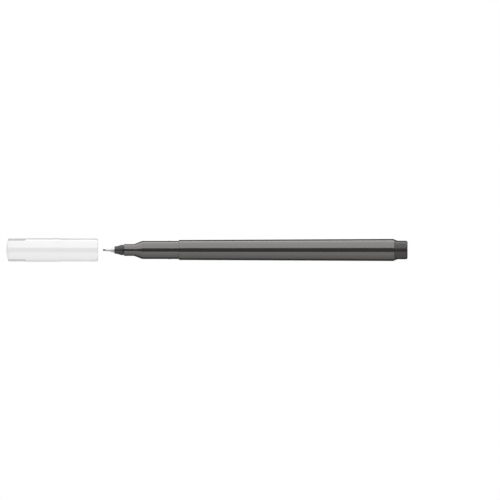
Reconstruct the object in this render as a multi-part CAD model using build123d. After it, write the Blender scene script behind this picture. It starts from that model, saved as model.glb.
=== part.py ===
from build123d import *
import os

# A fineliner pen: a slim moulded barrel, a fibre tip in a drawn metal sleeve, a fibre ink store
# inside, and a cap that has been pulled off and lies in line in front of the tip.
# Lengths are millimetres. Pen stations run along the axis from the writing tip to the rear end.
# Cap stations run along the same axis from the cap's mouth to its closed end.

# Gaps between pieces
press_gap = 0.02            # pieces that are pushed together and stay there
slide_gap = 0.05            # the cap over the pen
overrun = 1.0               # how far a cutter passes the face that it opens

# Writing tip, a rod of bonded fibre
tip_d = 0.70
tip_exposed = 0.95
tip_rounding = 0.22
tip_in_wick = 3.0

# Metal sleeve, drawn from thin sheet: a fine tube, a flare and a shank
sleeve_wall = 0.18
sleeve_tube_length = 1.95
sleeve_flare_length = 2.30
sleeve_flare_rise = 0.675
sleeve_shank_length = 2.80

# Nose cone that holds the sleeve and plugs the barrel's neck
nose_front_wall = 0.36
nose_front_edge = 0.28      # chamfer
nose_lip_length = 1.65      # the slim front part
nose_lip_rise = 0.25
nose_flare_length = 1.30
nose_collar_length = 1.35
nose_collar_step = 0.35     # how far the collar lies below the neck
nose_collar_rounding = 2.0
nose_web = 0.50             # between the sleeve's seat and the wick's bore
nose_spigot_wall = 0.75
nose_spigot_setback = 0.30  # how far the spigot ends before the neck does
nose_spigot_lead = 0.20     # chamfer that leads the spigot in
wick_air_gap = 0.10         # air passage round the wick
vent_d = 0.45
vent_drop = 0.65            # below the axis
vent_setback = 0.70         # in front of the barrel

# Barrel: neck, cone, grip with two ridges, stop and long body
neck_d = 5.33
neck_length = 4.55
neck_wall = 0.71
neck_edge = 0.12            # chamfer
cone_length = 3.65
cone_rounding = 2.0         # where the neck turns into the cone
grip_d = 8.14
grip_length = 16.45
grip_wall = 0.75
bead_setback = 4.10         # snap bead, in front of the stop
bead_width = 1.40
bead_height = 0.08
ring_setback = 1.00         # centring ring, in front of the stop
ring_width = 0.90
ring_height = 0.04
ridge_top_share = 0.40      # flat top of a ridge, of its width
stop_height = 0.44
stop_edge = 0.16            # chamfer
body_length = 96.95
body_rise = 0.475
body_wall = 1.25            # at the rear, round the end plug
bore_step_length = 2.50     # where the bore widens behind the stop
rear_bevel_length = 0.40    # bevel that leads over to the plug's shoulder
rear_bevel_drop = 0.17
rib_count = 6
rib_height = 0.25           # in the grip, where the bore is narrowest
rib_width = 0.60
rib_root = 0.20             # how far a rib is sunk into the wall
lug_length = 1.50           # step on each rib that stops the ink store
lug_height = 0.60
store_setback = 6.0         # front of the ink store, behind the cone

# Ink store: fibre in a film, with a breather tube along its side, fed to the tip by a wick
film_wall = 0.12
breather_d = 1.0
breather_wall = 0.20
wick_in_store = 9.0
wick_point = 0.40           # chamfer that leads the wick in

# Rear end plug
plug_spigot_length = 12.0
plug_lead = 0.50            # chamfer that leads the spigot in
plug_wall = 1.20
plug_shoulder_length = 1.45
plug_inset = 0.03           # below the barrel's rear face
plug_end_wall = 1.50
post_length = 4.55
post_gap = 0.01             # between the post and the cap's bore when the cap is posted
post_edge = 0.50            # chamfer

# Cap shell
cap_gap = 2.16              # from the cap's mouth to the tip, as it lies
cap_wall = 0.945
cap_front_length = 16.70
cap_step = 0.15
cap_step_length = 0.40
cap_mouth_edge = 0.32       # chamfer outside the mouth
cap_mouth_lead = 0.20       # chamfer that leads the grip in
cap_rim_edge = 0.20         # chamfer round the closed end
cap_groove_depth = 0.10     # groove in the bore that the snap bead springs into
cap_groove_room = 0.15      # on each side of the bead
cap_stop_gap = 0.10         # from the mouth to the barrel's stop, when closed
cap_chamber_step = 0.20     # the bore widens behind a shoulder that keeps the liner in
cap_end_wall = 1.30
dome_inset = 0.60           # from the cap's outside to the foot of the dome
dome_height = 0.95

# Cap liner, the inner cup that seals on the neck
liner_wall = 0.70
liner_lip_gap = 0.40        # from the liner's seat to the end of the neck, when closed
liner_lead = 0.25           # chamfer that leads the neck in
liner_tip_room = 2.45       # in front of the tip, when closed
liner_base = 1.20
liner_fin_count = 6
liner_fin_width = 0.80

# Cap end insert: a bridge across the closed end with two tongues that lie in slots of the shell
insert_depth = 2.80
tongue_width = 6.70
tongue_length = 8.0
tongue_corner = 1.0
tongue_recess = 0.20

# Radii that follow from the sizes above
tip_r = tip_d / 2
tube_bore_r = tip_r + press_gap
tube_r = tube_bore_r + sleeve_wall
shank_r = tube_r + sleeve_flare_rise
shank_seat_r = shank_r + press_gap
nose_front_r = shank_seat_r + nose_front_wall
neck_r = neck_d / 2
neck_bore_r = neck_r - neck_wall
collar_r = neck_r - nose_collar_step
nose_spigot_r = neck_bore_r - press_gap
wick_bore_r = nose_spigot_r - nose_spigot_wall
wick_r = wick_bore_r - wick_air_gap
grip_r = grip_d / 2
bead_r = grip_r + bead_height
ring_r = grip_r + ring_height
bore_r = grip_r - grip_wall
body_front_r = grip_r + stop_height
body_rear_r = body_front_r + body_rise
rear_face_r = body_rear_r - rear_bevel_drop
body_bore_r = body_rear_r - body_wall
plug_spigot_r = body_bore_r - press_gap
rib_r = bore_r - rib_height
film_r = rib_r - press_gap
film_bore_r = film_r - film_wall
fibre_r = film_bore_r - press_gap
breather_r = breather_d / 2
breather_offset = film_bore_r - press_gap - breather_r

# Pen stations
s_sleeve = tip_exposed
s_flare = s_sleeve + sleeve_tube_length
s_nose = s_flare + sleeve_flare_length
s_shank_end = s_nose + sleeve_shank_length
s_web = s_shank_end + press_gap
s_wick = s_web + nose_web
s_lip_end = s_nose + nose_lip_length
s_collar = s_lip_end + nose_flare_length
s_barrel = s_collar + nose_collar_length
s_cone = s_barrel + neck_length
s_grip = s_cone + cone_length
s_store = s_grip + store_setback
s_stop = s_grip + grip_length
s_widened = s_stop + bore_step_length
s_rear = s_stop + body_length
s_plug = s_rear - plug_spigot_length
s_store_end = s_plug - press_gap
s_post = s_rear + plug_shoulder_length
s_end = s_post + post_length

# Cap radii and cap stations
cap_bore_r = max(bead_r, ring_r) + slide_gap
cap_front_r = cap_bore_r + cap_wall
cap_rear_r = cap_front_r + cap_step
chamber_r = cap_bore_r + cap_chamber_step
liner_bore_r = neck_r + slide_gap
liner_r = liner_bore_r + liner_wall
tongue_r = cap_rear_r - tongue_recess
dome_r = cap_rear_r - dome_inset
post_r = cap_bore_r - post_gap
closed_mouth = s_stop - cap_stop_gap
u_bead = bead_setback - cap_stop_gap
u_chamber = closed_mouth - s_cone + liner_lip_gap
u_lip = u_chamber + press_gap
u_liner_end = closed_mouth + liner_tip_room
u_base = u_liner_end + liner_base
u_insert = u_base + press_gap
u_rim = u_insert + insert_depth
u_apex = u_rim + dome_height
u_tongue = u_rim - tongue_length

# Place of the pen: the layout is centred on X and its widest piece, the cap, touches z = 0
layout_length = u_apex + cap_gap + s_end
tip_x = u_apex + cap_gap - layout_length / 2
axis_z = cap_rear_r


def turned(*corners):
    """Solid of revolution about X. A corner is (station, radius) or (station, radius, rounding)."""
    points = [corner[:2] for corner in corners]
    roundings = [corner[2] if len(corner) > 2 else 0 for corner in corners]
    return revolve(make_face(FilletPolyline(*points, radius=roundings, close=True)), Axis.X)


def rod(start, end, radius):
    """Plain round bar between two stations."""
    return turned((start, 0), (start, radius), (end, radius), (end, 0))


def around(piece, count):
    """Copies of a piece at equal turns about the axis."""
    return [Rot(X=360 * turn / count) * piece for turn in range(count)]


def writing_tip():
    end = s_wick + press_gap + tip_in_wick
    return turned((0, 0), (0, tip_r, tip_rounding), (end, tip_r), (end, 0))


def needle_sleeve():
    return turned(
        (s_sleeve, tube_bore_r),
        (s_sleeve, tube_r),
        (s_flare, tube_r),
        (s_nose, shank_r),
        (s_shank_end, shank_r),
        (s_shank_end, shank_r - sleeve_wall),
        (s_nose, shank_r - sleeve_wall),
        (s_flare, tube_bore_r),
    )


def nose_cone():
    spigot_end = s_cone - nose_spigot_setback
    cone = turned(
        (s_nose, shank_seat_r),
        (s_nose, nose_front_r - nose_front_edge),
        (s_nose + nose_front_edge, nose_front_r),
        (s_lip_end, nose_front_r + nose_lip_rise),
        (s_collar, collar_r, nose_collar_rounding),
        (s_barrel - press_gap, collar_r),
        (s_barrel - press_gap, nose_spigot_r),
        (spigot_end - nose_spigot_lead, nose_spigot_r),
        (spigot_end, nose_spigot_r - nose_spigot_lead),
        (spigot_end, wick_bore_r),
        (s_wick, wick_bore_r),
        (s_wick, tube_bore_r),
        (s_web, tube_bore_r),
        (s_web, shank_seat_r),
    )
    vent_axis = Plane((s_barrel - vent_setback, 0, -vent_drop), z_dir=(0, -1, 0))
    vent = vent_axis * extrude(Circle(vent_d / 2), collar_r + overrun)
    return cone - vent


def feed_wick():
    start = s_wick + press_gap
    end = s_store + wick_in_store
    bore_end = start + tip_in_wick + press_gap
    return turned(
        (start, tube_bore_r),
        (start, wick_r),
        (end - wick_point, wick_r),
        (end, wick_r - wick_point),
        (end, 0),
        (bore_end, 0),
        (bore_end, tube_bore_r),
    )


def ink_reservoir():
    fibre = rod(s_store, s_store_end, fibre_r)
    wick_hole = rod(s_store - overrun, s_store + wick_in_store + press_gap, wick_r + press_gap)
    groove_r = breather_r + press_gap
    groove_sketch = Pos(0, breather_offset) * Circle(groove_r)
    groove_sketch += Pos(0, breather_offset + breather_r) * Rectangle(2 * groove_r, 2 * breather_r)
    groove_length = s_store_end - s_store + 2 * overrun
    groove = Plane((s_store - overrun, 0, 0), x_dir=(0, 1, 0), z_dir=(1, 0, 0)) * extrude(
        groove_sketch, groove_length
    )
    return fibre - wick_hole - groove


def reservoir_film():
    return turned(
        (s_store, film_bore_r),
        (s_store, film_r),
        (s_store_end, film_r),
        (s_store_end, film_bore_r),
    )


def breather_tube():
    tube = turned(
        (s_store, breather_r - breather_wall),
        (s_store, breather_r),
        (s_store_end, breather_r),
        (s_store_end, breather_r - breather_wall),
    )
    return Pos(0, 0, breather_offset) * tube


def ridge(setback, width, crest_r):
    """Corners of one ridge round the grip, from its front foot to its rear foot."""
    middle = s_stop - setback
    top = width * ridge_top_share
    return [
        (middle - width / 2, grip_r),
        (middle - top / 2, crest_r),
        (middle + top / 2, crest_r),
        (middle + width / 2, grip_r),
    ]


def rib():
    """One rib of the bore, with the lug at its front that stops the ink store."""
    lug_r = rib_r - lug_height
    lug_end = s_store - press_gap
    outline = Polyline(
        (lug_end - lug_length, bore_r + rib_root),
        (lug_end - lug_length, lug_r),
        (lug_end, lug_r),
        (lug_end, rib_r),
        (s_store_end, rib_r),
        (s_store_end, body_bore_r + rib_root),
        (s_widened, body_bore_r + rib_root),
        (s_stop, bore_r + rib_root),
        close=True,
    )
    return extrude(make_face(outline), rib_width / 2, both=True)


def barrel():
    tube = turned(
        (s_barrel, neck_bore_r),
        (s_barrel, neck_r - neck_edge),
        (s_barrel + neck_edge, neck_r),
        (s_cone, neck_r, cone_rounding),
        (s_grip, grip_r),
        *ridge(bead_setback, bead_width, bead_r),
        *ridge(ring_setback, ring_width, ring_r),
        (s_stop, grip_r),
        (s_stop, body_front_r - stop_edge),
        (s_stop + stop_edge, body_front_r),
        (s_rear - rear_bevel_length, body_rear_r),
        (s_rear, rear_face_r),
        (s_rear, body_bore_r),
        (s_widened, body_bore_r),
        (s_stop, bore_r),
        (s_grip, bore_r),
        (s_cone, neck_bore_r),
    )
    return tube + around(rib(), rib_count)


def rear_plug():
    seat = s_rear + press_gap
    return turned(
        (s_plug, plug_spigot_r - plug_wall),
        (s_plug, plug_spigot_r - plug_lead),
        (s_plug + plug_lead, plug_spigot_r),
        (seat, plug_spigot_r),
        (seat, rear_face_r - plug_inset),
        (s_post, post_r),
        (s_end - post_edge, post_r),
        (s_end, post_r - post_edge),
        (s_end, 0),
        (s_end - plug_end_wall, 0),
        (s_end - plug_end_wall, plug_spigot_r - plug_wall),
    )


def dome():
    """Shallow ball segment on the closed end of the cap."""
    ball_r = (dome_r**2 + dome_height**2) / (2 * dome_height)
    ball = Pos(u_apex - ball_r) * Rot(Z=180) * Sphere(ball_r)
    return ball & rod(u_rim, u_apex + overrun, dome_r + overrun)


def bridge_room(gap):
    """Bar through the closed end, as wide as the insert and grown by a gap."""
    front = u_tongue - gap
    rear = u_apex + overrun
    side = tongue_width / 2 + gap
    corners = [(front, -side), (front, side), (rear, side), (rear, -side)]
    roundings = [tongue_corner + gap, tongue_corner + gap, 0, 0]
    outline = FilletPolyline(*corners, radius=roundings, close=True)
    return extrude(make_face(outline), cap_rear_r + overrun, both=True)


def cap_shell():
    inner_end = u_rim - cap_end_wall
    groove_r = cap_bore_r + cap_groove_depth
    groove_reach = bead_width / 2 + cap_groove_room
    groove_front = u_bead - groove_reach
    groove_rear = u_bead + groove_reach
    cup = turned(
        (0, cap_bore_r + cap_mouth_lead),
        (0, cap_front_r - cap_mouth_edge),
        (cap_mouth_edge, cap_front_r),
        (cap_front_length, cap_front_r),
        (cap_front_length + cap_step_length, cap_rear_r),
        (u_rim - cap_rim_edge, cap_rear_r),
        (u_rim, cap_rear_r - cap_rim_edge),
        (u_rim, 0),
        (inner_end, 0),
        (inner_end, chamber_r),
        (u_chamber, chamber_r),
        (u_chamber, cap_bore_r),
        (groove_rear, cap_bore_r),
        (groove_rear - cap_groove_depth, groove_r),
        (groove_front + cap_groove_depth, groove_r),
        (groove_front, cap_bore_r),
        (cap_mouth_lead, cap_bore_r),
    )
    return cup + dome() - bridge_room(press_gap)


def cap_liner():
    flange_r = chamber_r - press_gap
    cup = turned(
        (u_lip, liner_bore_r + liner_lead),
        (u_lip, liner_r),
        (u_liner_end, liner_r),
        (u_liner_end, flange_r),
        (u_base, flange_r),
        (u_base, 0),
        (u_liner_end, 0),
        (u_liner_end, liner_bore_r),
        (u_lip + liner_lead, liner_bore_r),
    )
    fin_room = turned(
        (u_lip, liner_r - liner_wall / 2),
        (u_lip, flange_r),
        (u_liner_end, flange_r),
        (u_liner_end, liner_r - liner_wall / 2),
    )
    fin_length = u_liner_end - u_lip
    fin_face = Pos(u_lip + fin_length / 2, flange_r / 2) * Rectangle(fin_length, flange_r)
    fin = fin_room & extrude(fin_face, liner_fin_width / 2, both=True)
    return cup + around(fin, liner_fin_count)


def cap_end_insert():
    tongue_bore_r = chamber_r + press_gap
    blank = turned(
        (u_insert, 0),
        (u_insert, tongue_bore_r),
        (u_tongue, tongue_bore_r),
        (u_tongue, tongue_r),
        (u_rim, tongue_r),
        (u_rim, 0),
    )
    return (blank + dome()) & bridge_room(0)


pen_pieces = [
    writing_tip,
    needle_sleeve,
    nose_cone,
    feed_wick,
    ink_reservoir,
    reservoir_film,
    breather_tube,
    barrel,
    rear_plug,
]
cap_pieces = [cap_shell, cap_liner, cap_end_insert]
pen_place = Pos(tip_x, 0, axis_z)
cap_place = Pos(tip_x - cap_gap, 0, axis_z) * Rot(Z=180)

os.makedirs("parts", exist_ok=True)
for place, pieces in ((pen_place, pen_pieces), (cap_place, cap_pieces)):
    for piece in pieces:
        export_step(place * piece(), f"parts/{piece.__name__}.step")
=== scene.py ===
import math
import bmesh
import bpy
from mathutils import Matrix, Vector


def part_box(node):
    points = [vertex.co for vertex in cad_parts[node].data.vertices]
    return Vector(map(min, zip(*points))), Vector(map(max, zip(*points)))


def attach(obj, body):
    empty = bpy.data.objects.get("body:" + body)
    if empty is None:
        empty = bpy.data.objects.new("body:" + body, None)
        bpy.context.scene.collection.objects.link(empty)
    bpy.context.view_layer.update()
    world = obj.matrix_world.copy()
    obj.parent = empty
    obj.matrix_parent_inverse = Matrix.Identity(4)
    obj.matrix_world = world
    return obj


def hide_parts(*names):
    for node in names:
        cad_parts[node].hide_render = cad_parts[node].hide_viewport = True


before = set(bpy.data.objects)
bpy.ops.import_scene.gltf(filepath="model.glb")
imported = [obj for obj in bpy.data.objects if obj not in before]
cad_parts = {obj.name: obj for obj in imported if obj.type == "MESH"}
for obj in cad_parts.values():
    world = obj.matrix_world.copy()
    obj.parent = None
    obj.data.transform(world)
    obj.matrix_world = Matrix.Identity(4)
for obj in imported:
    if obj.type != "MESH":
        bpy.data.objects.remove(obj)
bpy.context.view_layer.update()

# A fineliner pen with its cap pulled off. Sizes are millimetres unless a name says otherwise.
# Pen stations run along the axis from the writing tip, cap stations from the cap's mouth.
MM = 0.001
SEGMENTS = 128
ARC_STEP = math.radians(9)
LEAST_ARC_STEPS = 3
SHARP = math.radians(28)
WELD = 0.0001 * MM

# Places that the frame gives, in metres
tip_low, tip_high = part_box("writing_tip")
sleeve_low, sleeve_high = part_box("needle_sleeve")
nose_low, nose_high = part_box("nose_cone")
barrel_low, barrel_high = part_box("barrel")
plug_low, plug_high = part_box("rear_plug")
shell_low, shell_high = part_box("cap_shell")
insert_low, insert_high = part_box("cap_end_insert")
liner_low, liner_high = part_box("cap_liner")
axis_z = (barrel_low.z + barrel_high.z) / 2
tip_x = tip_low.x
mouth_x = shell_high.x


def pen_station(x):
    return (x - tip_x) / MM


def cap_station(x):
    return (mouth_x - x) / MM


def half_height(low, high):
    return (high.z - low.z) / 2 / MM


def pen_place(station):
    return tip_x + station * MM


def cap_place(station):
    return mouth_x - station * MM


# Fits
press_gap = 0.02
overrun = 1.0

# Tip and sleeve
tip_r = half_height(tip_low, tip_high)
tip_end = pen_station(tip_high.x)
tip_rounding = 0.22
tube_bore_r = tip_r + press_gap
sleeve_wall = 0.18
tube_r = tube_bore_r + sleeve_wall
tube_edge = 0.07
tube_length = 1.95
flare_rounding = 1.2
shank_r = half_height(sleeve_low, sleeve_high)
shank_rounding = 0.5
s_sleeve = pen_station(sleeve_low.x)
s_flare = s_sleeve + tube_length
s_shank_end = pen_station(sleeve_high.x)

# Nose cone
s_nose = pen_station(nose_low.x)
s_spigot_end = pen_station(nose_high.x)
collar_r = half_height(nose_low, nose_high)
seat_r = shank_r + press_gap
nose_front_wall = 0.36
nose_front_r = seat_r + nose_front_wall
nose_front_edge = 0.26
nose_lip_length = 1.65
nose_lip_rise = 0.25
nose_lip_rounding = 1.0
nose_flare_length = 1.30
collar_rounding = 2.0
collar_edge = 0.30
spigot_lead = 0.20
spigot_wall = 0.75
nose_web = 0.50
vent_r = 0.225
vent_drop = 0.65
vent_setback = 0.70
vent_sides = 24
s_lip_end = s_nose + nose_lip_length
s_collar = s_lip_end + nose_flare_length
s_web = s_shank_end + press_gap
s_wick = s_web + nose_web

# Barrel
s_barrel = pen_station(barrel_low.x)
s_rear = pen_station(barrel_high.x)
neck_r = 2.665
neck_wall = 0.71
neck_bore_r = neck_r - neck_wall
neck_edge = 0.14
neck_length = 4.55
cone_rounding = 2.0
cone_length = 3.65
grip_r = 4.07
grip_rounding = 0.6
grip_length = 16.45
grip_wall = 0.75
bore_r = grip_r - grip_wall
bead_setback = 4.10
bead_width = 1.40
bead_height = 0.08
ring_setback = 1.00
ring_width = 0.90
ring_height = 0.04
ridge_top_share = 0.40
ridge_rounding = 0.35
stop_root = 0.08
stop_edge = 0.18
stop_height = 0.44
bore_step_length = 2.50
body_rear_r = half_height(barrel_low, barrel_high)
body_wall = 1.25
body_bore_r = body_rear_r - body_wall
bevel_length = 0.40
bevel_drop = 0.17
bevel_rounding = 0.25
rear_face_r = body_rear_r - bevel_drop
body_front_r = grip_r + stop_height
s_cone = s_barrel + neck_length
s_grip = s_cone + cone_length
s_stop = s_grip + grip_length
s_widened = s_stop + bore_step_length
rib_count = 6
rib_height = 0.25
rib_r = bore_r - rib_height
rib_width = 0.60
rib_root = 0.20
lug_length = 1.50
lug_height = 0.60
s_store = pen_station(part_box("ink_reservoir")[0].x)
s_store_end = pen_station(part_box("ink_reservoir")[1].x)

# Rear plug
s_plug = pen_station(plug_low.x)
s_end = pen_station(plug_high.x)
plug_spigot_r = body_bore_r - press_gap
plug_wall = 1.20
plug_bore_r = plug_spigot_r - plug_wall
plug_lead = 0.50
shoulder_r = half_height(plug_low, plug_high)
shoulder_edge = 0.10
shoulder_length = 1.45
post_r = 4.19
post_root = 0.50
post_edge = 0.80
plug_end_wall = 1.50
gate_r = 1.10
gate_depth = 0.25
gate_rounding = 0.15
gate_stub_r = 0.45
gate_stub_height = 0.15
s_post = s_rear + shoulder_length

# Cap
cap_rear_r = half_height(shell_low, shell_high)
cap_step = 0.15
cap_wall = 0.945
cap_front_r = cap_rear_r - cap_step
cap_bore_r = cap_front_r - cap_wall
cap_front_length = 16.70
cap_step_length = 0.40
cap_step_rounding = 0.8
mouth_edge = 0.60
mouth_lead = 0.18
rim_edge = 0.22
groove_depth = 0.10
groove_front = 3.15
groove_rear = 4.85
chamber_step = 0.20
chamber_r = cap_bore_r + chamber_step
cap_end_wall = 1.30
dome_inset = 0.60
dome_height = 0.95
u_apex = cap_station(insert_low.x)
u_rim = u_apex - dome_height
u_chamber = cap_station(liner_high.x) - press_gap
u_insert = cap_station(liner_low.x) + press_gap
dome_r = cap_rear_r - dome_inset
ball_r = (dome_r**2 + dome_height**2) / (2 * dome_height)
dome_steps = 12
tongue_r = half_height(insert_low, insert_high)
tongue_side = (insert_high.y - insert_low.y) / 2 / MM
tongue_bore_r = chamber_r + press_gap
tongue_corner = 1.0
u_tongue = cap_station(insert_high.x)


# Mesh tools

def rounded(corners):
    """Points of a closed outline. A corner is (along, out) or (along, out, rounding)."""
    points = []
    for k, corner in enumerate(corners):
        here = Vector(corner[:2])
        rounding = corner[2] if len(corner) > 2 else 0
        if not rounding:
            points.append(here)
            continue
        back = (Vector(corners[k - 1][:2]) - here).normalized()
        ahead = (Vector(corners[(k + 1) % len(corners)][:2]) - here).normalized()
        half = back.angle(ahead) / 2
        centre = here + (back + ahead).normalized() * rounding / math.sin(half)
        arm = here + back * rounding / math.tan(half) - centre
        turn = math.pi - 2 * half
        if back.x * ahead.y - back.y * ahead.x > 0:
            turn = -turn
        steps = max(LEAST_ARC_STEPS, math.ceil(abs(turn) / ARC_STEP))
        for step in range(steps + 1):
            points.append(centre + Matrix.Rotation(turn * step / steps, 2) @ arm)
    return points


def new_object(name, bm):
    bmesh.ops.recalc_face_normals(bm, faces=bm.faces)
    mesh = bpy.data.meshes.new(name)
    bm.to_mesh(mesh)
    bm.free()
    piece = bpy.data.objects.new(name, mesh)
    bpy.context.scene.collection.objects.link(piece)
    return piece


def turned(name, place, corners):
    """Piece turned about the axis. It is solid where its first and last corner lie on the axis."""
    bm = bmesh.new()
    rings = []
    for along, out in rounded(corners):
        turns = [math.tau * k / SEGMENTS for k in range(SEGMENTS)] if out else [0]
        rings.append([
            bm.verts.new((place(along), out * MM * math.cos(turn), axis_z + out * MM * math.sin(turn)))
            for turn in turns
        ])
    pairs = list(zip(rings, rings[1:]))
    if len(rings[0]) > 1:
        pairs.append((rings[-1], rings[0]))
    for first, second in pairs:
        for k in range(SEGMENTS):
            around = [first[k % len(first)], first[(k + 1) % len(first)]]
            around += [second[(k + 1) % len(second)], second[k % len(second)]]
            bm.faces.new(list(dict.fromkeys(around)))
    return new_object(name, bm)


def prism(name, place, outline, low, high, turns=(0,)):
    """Outlines pushed out to both sides, each at its own turn about the axis, as one mesh."""
    bm = bmesh.new()
    for turn in turns:
        walls = []
        for side in (low, high):
            walls.append([
                bm.verts.new((
                    place(along),
                    MM * (out * math.cos(turn) - side * math.sin(turn)),
                    axis_z + MM * (out * math.sin(turn) + side * math.cos(turn)),
                ))
                for along, out in outline
            ])
        bm.faces.new(walls[0])
        bm.faces.new(walls[1])
        count = len(outline)
        for k in range(count):
            n = (k + 1) % count
            bm.faces.new((walls[0][k], walls[0][n], walls[1][n], walls[1][k]))
    return new_object(name, bm)


def weld(mesh):
    """Merges the doubled points that a cut leaves."""
    bm = bmesh.new()
    bm.from_mesh(mesh)
    bmesh.ops.remove_doubles(bm, verts=bm.verts, dist=WELD)
    bmesh.ops.dissolve_degenerate(bm, edges=bm.edges, dist=WELD)
    bm.to_mesh(mesh)
    bm.free()


def combine(piece, other, operation):
    """Adds the other mesh to the piece, takes it away, or keeps what both share."""
    step = piece.modifiers.new(operation, "BOOLEAN")
    step.operation = operation
    step.object = other
    step.solver = "EXACT"
    view = bpy.context.evaluated_depsgraph_get()
    mesh = bpy.data.meshes.new_from_object(piece.evaluated_get(view))
    weld(mesh)
    piece.modifiers.clear()
    piece.data = mesh
    bpy.data.objects.remove(other)
    return piece


# Materials. A pattern is noise with so many features per metre along the axis and across it.
white = (1.0, 1.0, 1.0)
warm = (1.0, 0.968, 0.95)
sheen_roughness = 0.40
pattern_low = 0.3
pattern_high = 0.7
drift_grain = (40, 160, 3.0)
polish_grain = (60, 2500, 3.0)
skin_detail = 2.0
fibre_specular = 0.3
fibre_detail = 4.0
steel_specular = 0.5
steel_grain = (9000, 120, 4.0)


def grey(level):
    return (level, level, level)


def material(name, specular, metallic=0.0, sheen=0.0, gleam=white):
    made = bpy.data.materials.new(name)
    made.use_nodes = True
    shader = made.node_tree.nodes["Principled BSDF"]
    shader.inputs["Specular IOR Level"].default_value = specular
    shader.inputs["Specular Tint"].default_value = (*gleam, 1)
    shader.inputs["Metallic"].default_value = metallic
    shader.inputs["Sheen Weight"].default_value = sheen
    shader.inputs["Sheen Roughness"].default_value = sheen_roughness
    return made, made.node_tree, shader


def grain(tree, along, across, detail):
    """Noise that is stretched along the axis."""
    place = tree.nodes.new("ShaderNodeTexCoord")
    stretch = tree.nodes.new("ShaderNodeMapping")
    stretch.inputs["Scale"].default_value = (along, across, across)
    noise = tree.nodes.new("ShaderNodeTexNoise")
    noise.inputs["Scale"].default_value = 1.0
    noise.inputs["Detail"].default_value = detail
    tree.links.new(place.outputs["Object"], stretch.inputs["Vector"])
    tree.links.new(stretch.outputs["Vector"], noise.inputs["Vector"])
    return noise.outputs["Fac"]


def tint(tree, shader, pattern, dark, light):
    ramp = tree.nodes.new("ShaderNodeValToRGB")
    low, high = ramp.color_ramp.elements
    low.position, high.position = pattern_low, pattern_high
    low.color = (*dark, 1)
    high.color = (*light, 1)
    tree.links.new(pattern, ramp.inputs["Fac"])
    tree.links.new(ramp.outputs["Color"], shader.inputs["Base Color"])


def polish(tree, shader, pattern, low, high):
    spread = tree.nodes.new("ShaderNodeMapRange")
    spread.inputs["From Min"].default_value = pattern_low
    spread.inputs["From Max"].default_value = pattern_high
    spread.inputs["To Min"].default_value = low
    spread.inputs["To Max"].default_value = high
    tree.links.new(pattern, spread.inputs["Value"])
    tree.links.new(spread.outputs["Result"], shader.inputs["Roughness"])


def relief(tree, shader, pattern, height):
    bump = tree.nodes.new("ShaderNodeBump")
    bump.inputs["Strength"].default_value = 1.0
    bump.inputs["Distance"].default_value = height
    tree.links.new(pattern, bump.inputs["Height"])
    tree.links.new(bump.outputs["Normal"], shader.inputs["Normal"])


def moulded(name, dark, light, roughness, specular, skin, skin_height, sheen=0.0, gleam=white):
    """Moulded plastic: slow drifts of colour, polish that runs along the piece, and a fine skin."""
    made, tree, shader = material(name, specular, sheen=sheen, gleam=gleam)
    tint(tree, shader, grain(tree, *drift_grain), dark, light)
    polish(tree, shader, grain(tree, *polish_grain), *roughness)
    relief(tree, shader, grain(tree, skin, skin, skin_detail), skin_height)
    return made


def streaked(made, tree, shader, pattern, dark, light, roughness, depth):
    """One pattern that sets the colour, the polish and the relief."""
    tint(tree, shader, pattern, dark, light)
    polish(tree, shader, pattern, *roughness)
    relief(tree, shader, pattern, depth)
    return made


def fibre(name, dark, light, roughness, along, across, depth):
    """Bonded fibre that runs along the axis."""
    made, tree, shader = material(name, fibre_specular)
    strands = grain(tree, along, across, fibre_detail)
    return streaked(made, tree, shader, strands, dark, light, roughness, depth)


def drawn_steel(name, dark, light, roughness, depth):
    """Steel with the fine rings that drawing and turning leave."""
    made, tree, shader = material(name, steel_specular, metallic=1.0)
    rings = grain(tree, *steel_grain)
    return streaked(made, tree, shader, rings, dark, light, roughness, depth)


barrel_plastic = moulded(
    "look_barrel_plastic",
    dark=(0.033, 0.031, 0.029),
    light=(0.037, 0.035, 0.033),
    roughness=(0.09, 0.14),
    specular=1.0,
    skin=700,
    skin_height=1e-6,
    gleam=warm,
)
plug_plastic = moulded(
    "look_plug_plastic",
    dark=(0.029, 0.028, 0.027),
    light=(0.035, 0.034, 0.032),
    roughness=(0.22, 0.30),
    specular=0.39,
    skin=5000,
    skin_height=1.5e-6,
    gleam=warm,
)
nose_plastic = moulded(
    "look_nose_plastic",
    dark=grey(0.027),
    light=(0.033, 0.033, 0.032),
    roughness=(0.26, 0.36),
    specular=0.37,
    skin=5000,
    skin_height=2e-6,
)
cap_plastic = moulded(
    "look_cap_plastic",
    dark=grey(0.86),
    light=grey(0.89),
    roughness=(0.10, 0.16),
    specular=0.7,
    skin=700,
    skin_height=1e-6,
    sheen=1.0,
)
insert_plastic = moulded(
    "look_insert_plastic",
    dark=grey(0.65),
    light=grey(0.69),
    roughness=(0.14, 0.22),
    specular=0.2,
    skin=900,
    skin_height=1e-6,
)
liner_plastic = moulded(
    "look_liner_plastic",
    dark=(0.72, 0.72, 0.71),
    light=(0.76, 0.76, 0.75),
    roughness=(0.40, 0.50),
    specular=0.5,
    skin=3000,
    skin_height=2e-6,
)
breather_plastic = moulded(
    "look_breather_plastic",
    dark=(0.77, 0.77, 0.75),
    light=(0.82, 0.82, 0.80),
    roughness=(0.35, 0.45),
    specular=0.5,
    skin=4000,
    skin_height=1e-6,
)
store_film = moulded(
    "look_store_film",
    dark=(0.72, 0.73, 0.75),
    light=(0.78, 0.79, 0.81),
    roughness=(0.10, 0.25),
    specular=0.5,
    skin=1500,
    skin_height=6e-6,
)
sleeve_metal = drawn_steel(
    "look_sleeve_metal",
    dark=grey(0.42),
    light=grey(0.52),
    roughness=(0.52, 0.62),
    depth=1e-6,
)
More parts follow.
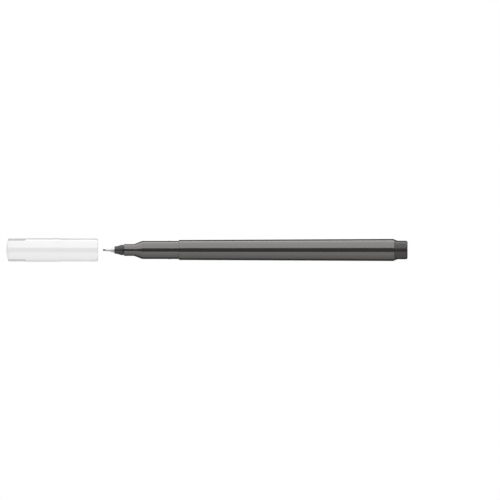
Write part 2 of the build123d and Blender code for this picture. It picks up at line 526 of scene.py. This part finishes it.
tip_fibre = fibre(
    "look_tip_fibre",
    dark=grey(0.006),
    light=grey(0.02),
    roughness=(0.5, 0.8),
    along=900,
    across=14000,
    depth=6e-6,
)
wick_fibre = fibre(
    "look_wick_fibre",
    dark=grey(0.012),
    light=grey(0.03),
    roughness=(0.6, 0.9),
    along=500,
    across=10000,
    depth=1e-5,
)
store_fibre = fibre(
    "look_store_fibre",
    dark=(0.012, 0.012, 0.014),
    light=(0.03, 0.03, 0.033),
    roughness=(0.6, 0.9),
    along=300,
    across=6000,
    depth=2e-5,
)


# Pieces

def finish_piece(piece, look, body):
    """Smooth shading with crisp edges, the material, and the body that carries the piece."""
    mesh = piece.data
    mesh.shade_smooth()
    mesh.set_sharp_from_angle(angle=SHARP)
    normals = piece.modifiers.new("normals", "WEIGHTED_NORMAL")
    normals.keep_sharp = True
    mesh.materials.clear()
    mesh.materials.append(look)
    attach(piece, body)


def ridge(setback, width, height):
    """Corners of one ridge round the grip, from its front foot to its rear foot."""
    middle = s_stop - setback
    top = width * ridge_top_share
    return [
        (middle - width / 2, grip_r, ridge_rounding),
        (middle - top / 2, grip_r + height, ridge_rounding),
        (middle + top / 2, grip_r + height, ridge_rounding),
        (middle + width / 2, grip_r, ridge_rounding),
    ]


def make_barrel():
    tube = turned("pen_barrel", pen_place, [
        (s_barrel, neck_bore_r),
        (s_barrel, neck_r, neck_edge),
        (s_cone, neck_r, cone_rounding),
        (s_grip, grip_r, grip_rounding),
        *ridge(bead_setback, bead_width, bead_height),
        *ridge(ring_setback, ring_width, ring_height),
        (s_stop, grip_r, stop_root),
        (s_stop, body_front_r, stop_edge),
        (s_rear - bevel_length, body_rear_r, bevel_rounding),
        (s_rear, rear_face_r),
        (s_rear, body_bore_r),
        (s_widened, body_bore_r),
        (s_stop, bore_r),
        (s_grip, bore_r),
        (s_cone, neck_bore_r),
    ])
    lug_r = rib_r - lug_height
    lug_end = s_store - press_gap
    outline = [
        (lug_end - lug_length, bore_r + rib_root),
        (lug_end - lug_length, lug_r),
        (lug_end, lug_r),
        (lug_end, rib_r),
        (s_store_end, rib_r),
        (s_store_end, body_bore_r + rib_root),
        (s_widened, body_bore_r + rib_root),
        (s_stop, bore_r + rib_root),
    ]
    turns = [math.tau * k / rib_count for k in range(rib_count)]
    ribs = prism("ribs", pen_place, outline, -rib_width / 2, rib_width / 2, turns)
    return combine(tube, ribs, "UNION")


def make_plug():
    seat = s_rear + press_gap
    gate_floor = s_end - gate_depth
    return turned("pen_plug", pen_place, [
        (s_end - plug_end_wall, 0),
        (s_end - plug_end_wall, plug_bore_r),
        (s_plug, plug_bore_r),
        (s_plug, plug_spigot_r - plug_lead),
        (s_plug + plug_lead, plug_spigot_r),
        (seat, plug_spigot_r),
        (seat, shoulder_r, shoulder_edge),
        (s_post, post_r, post_root),
        (s_end, post_r, post_edge),
        (s_end, gate_r, gate_rounding),
        (gate_floor, gate_r, gate_rounding),
        (gate_floor, gate_stub_r),
        (gate_floor + gate_stub_height, gate_stub_r, gate_rounding / 2),
        (gate_floor + gate_stub_height, 0),
    ])


def make_nose():
    barrel_face = s_barrel - press_gap
    spigot_r = neck_bore_r - press_gap
    wick_bore_r = spigot_r - spigot_wall
    cone = turned("pen_nose", pen_place, [
        (s_nose, seat_r),
        (s_nose, nose_front_r, nose_front_edge),
        (s_lip_end, nose_front_r + nose_lip_rise, nose_lip_rounding),
        (s_collar, collar_r, collar_rounding),
        (barrel_face, collar_r, collar_edge),
        (barrel_face, spigot_r),
        (s_spigot_end - spigot_lead, spigot_r),
        (s_spigot_end, spigot_r - spigot_lead),
        (s_spigot_end, wick_bore_r),
        (s_wick, wick_bore_r),
        (s_wick, tube_bore_r),
        (s_web, tube_bore_r),
        (s_web, seat_r),
    ])
    outline = [
        (
            s_barrel - vent_setback + vent_r * math.cos(math.tau * k / vent_sides),
            vent_r * math.sin(math.tau * k / vent_sides) - vent_drop,
        )
        for k in range(vent_sides)
    ]
    vent = prism("vent", pen_place, outline, 0, collar_r + overrun, [math.pi / 2])
    return combine(cone, vent, "DIFFERENCE")


def make_sleeve():
    inner_r = shank_r - sleeve_wall
    return turned("pen_sleeve", pen_place, [
        (s_sleeve, tube_bore_r),
        (s_sleeve, tube_r, tube_edge),
        (s_flare, tube_r, flare_rounding),
        (s_nose, shank_r, shank_rounding),
        (s_shank_end, shank_r),
        (s_shank_end, inner_r),
        (s_nose, inner_r),
        (s_flare, tube_bore_r),
    ])


def make_tip():
    return turned("pen_tip", pen_place, [
        (0, 0),
        (0, tip_r, tip_rounding),
        (tip_end, tip_r),
        (tip_end, 0),
    ])


def dome():
    """Points of the shallow ball at the closed end, from its foot to the apex."""
    points = []
    for step in range(dome_steps + 1):
        out = dome_r * (1 - step / dome_steps)
        points.append((u_apex - ball_r + math.sqrt(ball_r**2 - out**2), out))
    return points


def insert_bar(name, gap):
    """Bar across the closed end, as wide as the insert and grown by a gap."""
    front = u_tongue - gap
    rear = u_apex + overrun
    side = tongue_side + gap
    outline = rounded([
        (front, -side, tongue_corner + gap),
        (front, side, tongue_corner + gap),
        (rear, side),
        (rear, -side),
    ])
    reach = cap_rear_r + overrun
    return prism(name, cap_place, outline, -reach, reach)


def make_shell():
    inner_end = u_rim - cap_end_wall
    groove_r = cap_bore_r + groove_depth
    cup = turned("cap_body", cap_place, [
        (inner_end, 0),
        (inner_end, chamber_r),
        (u_chamber, chamber_r),
        (u_chamber, cap_bore_r),
        (groove_rear, cap_bore_r),
        (groove_rear - groove_depth, groove_r),
        (groove_front + groove_depth, groove_r),
        (groove_front, cap_bore_r),
        (mouth_lead, cap_bore_r),
        (0, cap_bore_r + mouth_lead),
        (0, cap_front_r, mouth_edge),
        (cap_front_length, cap_front_r, cap_step_rounding),
        (cap_front_length + cap_step_length, cap_rear_r, cap_step_rounding),
        (u_rim, cap_rear_r, rim_edge),
        *dome(),
    ])
    slot_r = chamber_r - press_gap
    slot_end = u_rim + press_gap
    slots = turned("slots", cap_place, [
        (u_tongue - overrun, slot_r),
        (u_tongue - overrun, cap_rear_r + overrun),
        (slot_end, cap_rear_r + overrun),
        (slot_end, slot_r),
    ])
    combine(slots, insert_bar("slot_bar", press_gap), "INTERSECT")
    return combine(cup, slots, "DIFFERENCE")


def make_insert():
    plate_end = u_rim - cap_end_wall - press_gap
    blank = turned("cap_insert", cap_place, [
        (u_insert, 0),
        (u_insert, tongue_bore_r),
        (u_tongue, tongue_bore_r),
        (u_tongue, tongue_r),
        (u_rim, tongue_r, rim_edge),
        (u_rim, tongue_bore_r),
        (plate_end, tongue_bore_r),
        (plate_end, 0),
    ])
    return combine(blank, insert_bar("insert_bar", 0), "INTERSECT")


made_pieces = [
    (make_barrel, "barrel", "pen", barrel_plastic, "barrel_plastic"),
    (make_plug, "rear_plug", "pen", plug_plastic, "plug_plastic"),
    (make_nose, "nose_cone", "pen", nose_plastic, "nose_plastic"),
    (make_sleeve, "needle_sleeve", "pen", sleeve_metal, "sleeve_metal"),
    (make_tip, "writing_tip", "pen", tip_fibre, "tip_fibre"),
    (make_shell, "cap_shell", "cap", cap_plastic, "cap_plastic"),
    (make_insert, "cap_end_insert", "cap", insert_plastic, "insert_plastic"),
]
for make, node, body, look, slot in made_pieces:
    piece = make()
    finish_piece(piece, look, body)
    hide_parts(node)

kept_nodes = [
    ("cap_liner", liner_plastic),
    ("feed_wick", wick_fibre),
    ("ink_reservoir", store_fibre),
    ("reservoir_film", store_film),
    ("breather_tube", breather_plastic),
]
for node, look in kept_nodes:
    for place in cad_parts[node].material_slots:
        place.material = look


# Floor, light and camera. Lengths are metres, and angles are degrees from the lens upwards.
box_power = 3.35
box_stops = [
    (-180, 0.016),
    (-111, 0.016),
    (-105, 0.198),
    (-25, 0.456),
    (-19, 0.008),
    (19, 0.008),
    (25, 0.80),
    (95, 0.81),
    (120, 1.00),
    (126, 0.024),
    (180, 0.016),
]
box_left_end = (-0.80, -0.98)
box_right_end = (0.70, 0.95)
box_end_level = 0.04
fill_level = 1.225
fill_ends = (0.2, 0.9)
fill_end_loss = 0.85
card_level = 0.287
card_left = (-0.05, -0.30)
card_height = (0.40, 0.20)
card_depth = (0.0, 0.15)
floor_half = 1.5
floor_grey = 0.9
floor_lift = 0.17
lens_width = 0.225
lens_x = 0.01946
lens_distance = 0.3
ramp_middle = 0.5


def feed(tree, socket, value):
    """Gives a socket a number, or what another socket puts out."""
    if isinstance(value, (int, float)):
        socket.default_value = value
    else:
        tree.links.new(value, socket)


def calc(tree, operation, *values):
    """Math node whose inputs are numbers or sockets."""
    node = tree.nodes.new("ShaderNodeMath")
    node.operation = operation
    for socket, value in zip(node.inputs, values):
        feed(tree, socket, value)
    return node.outputs["Value"]


def make_floor():
    """Pale floor that the lens sees as white, apart from the shadow on it."""
    bm = bmesh.new()
    corners = ((-1, -1), (1, -1), (1, 1), (-1, 1))
    bm.faces.new([bm.verts.new((x * floor_half, y * floor_half, 0)) for x, y in corners])
    floor = new_object("floor", bm)
    paint = bpy.data.materials.new("floor_paint")
    paint.use_nodes = True
    shader = paint.node_tree.nodes["Principled BSDF"]
    shader.inputs["Base Color"].default_value = (*grey(floor_grey), 1)
    shader.inputs["Roughness"].default_value = 1.0
    shader.inputs["Specular IOR Level"].default_value = 0.0
    shader.inputs["Emission Color"].default_value = (*white, 1)
    path = paint.node_tree.nodes.new("ShaderNodeLightPath")
    lift = calc(paint.node_tree, "MULTIPLY", path.outputs["Is Camera Ray"], floor_lift)
    paint.node_tree.links.new(lift, shader.inputs["Emission Strength"])
    floor.data.materials.append(paint)
    floor.visible_glossy = False
    floor.visible_diffuse = False


def fade(tree, value, start, end):
    """Rises softly from 0 to 1 between two values."""
    node = tree.nodes.new("ShaderNodeMapRange")
    node.interpolation_type = "SMOOTHSTEP"
    node.inputs["From Min"].default_value = start
    node.inputs["From Max"].default_value = end
    tree.links.new(value, node.inputs["Value"])
    return node.outputs["Result"]


def blend(tree, share, first, second):
    """Goes from the first value to the second as the share goes from 0 to 1."""
    node = tree.nodes.new("ShaderNodeMix")
    for name, value in (("Factor", share), ("A", first), ("B", second)):
        feed(tree, node.inputs[name], value)
    return node.outputs["Result"]


def make_world():
    """White studio: soft light that is weaker from the ends. Gloss shows two long soft boxes, one
    above and one below the lens with dark between them, and a white card behind on the left."""
    world = bpy.data.worlds.new("studio")
    world.use_nodes = True
    world.cycles.sampling_method = "NONE"
    bpy.context.scene.world = world
    tree = world.node_tree
    place = tree.nodes.new("ShaderNodeTexCoord")
    parts = tree.nodes.new("ShaderNodeSeparateXYZ")
    tree.links.new(place.outputs["Generated"], parts.inputs["Vector"])
    across, depth, height = parts.outputs
    angle = calc(tree, "ARCTAN2", height, calc(tree, "MULTIPLY", depth, -1))
    boxes = tree.nodes.new("ShaderNodeValToRGB")
    ramp = boxes.color_ramp
    while len(ramp.elements) < len(box_stops):
        ramp.elements.new(ramp_middle)
    for element, (degrees, level) in zip(ramp.elements, box_stops):
        element.position = math.radians(degrees) / math.tau + ramp_middle
        element.color = (*grey(level), 1)
    tree.links.new(calc(tree, "MULTIPLY_ADD", angle, 1 / math.tau, ramp_middle), boxes.inputs["Fac"])
    ends = calc(tree, "ADD", fade(tree, across, *box_left_end), fade(tree, across, *box_right_end))
    shown = blend(tree, ends, boxes.outputs["Color"], box_end_level)
    card = calc(tree, "MULTIPLY", fade(tree, across, *card_left), fade(tree, depth, *card_depth))
    card = calc(tree, "MULTIPLY", card, fade(tree, calc(tree, "ABSOLUTE", height), *card_height))
    gloss = calc(tree, "MULTIPLY", blend(tree, card, shown, card_level), box_power)
    far_ends = fade(tree, calc(tree, "ABSOLUTE", across), *fill_ends)
    fill = calc(tree, "MULTIPLY_ADD", far_ends, -fill_end_loss, fill_level)
    path = tree.nodes.new("ShaderNodeLightPath")
    seen = blend(tree, path.outputs["Is Diffuse Ray"], 1.0, fill)
    level = blend(tree, path.outputs["Is Glossy Ray"], seen, gloss)
    sky = tree.nodes["Background"]
    sky.inputs["Color"].default_value = (*white, 1)
    tree.links.new(level, sky.inputs["Strength"])


def make_camera():
    """Straight from the side, as in the photograph."""
    lens = bpy.data.cameras.new("camera")
    lens.type = "ORTHO"
    lens.ortho_scale = lens_width
    camera = bpy.data.objects.new("camera", lens)
    camera.location = (lens_x, -lens_distance, axis_z)
    camera.rotation_euler = (math.pi / 2, 0, 0)
    bpy.context.scene.collection.objects.link(camera)
    bpy.context.scene.camera = camera


make_floor()
make_world()
make_camera()
bpy.context.scene.view_settings.view_transform = "Standard"
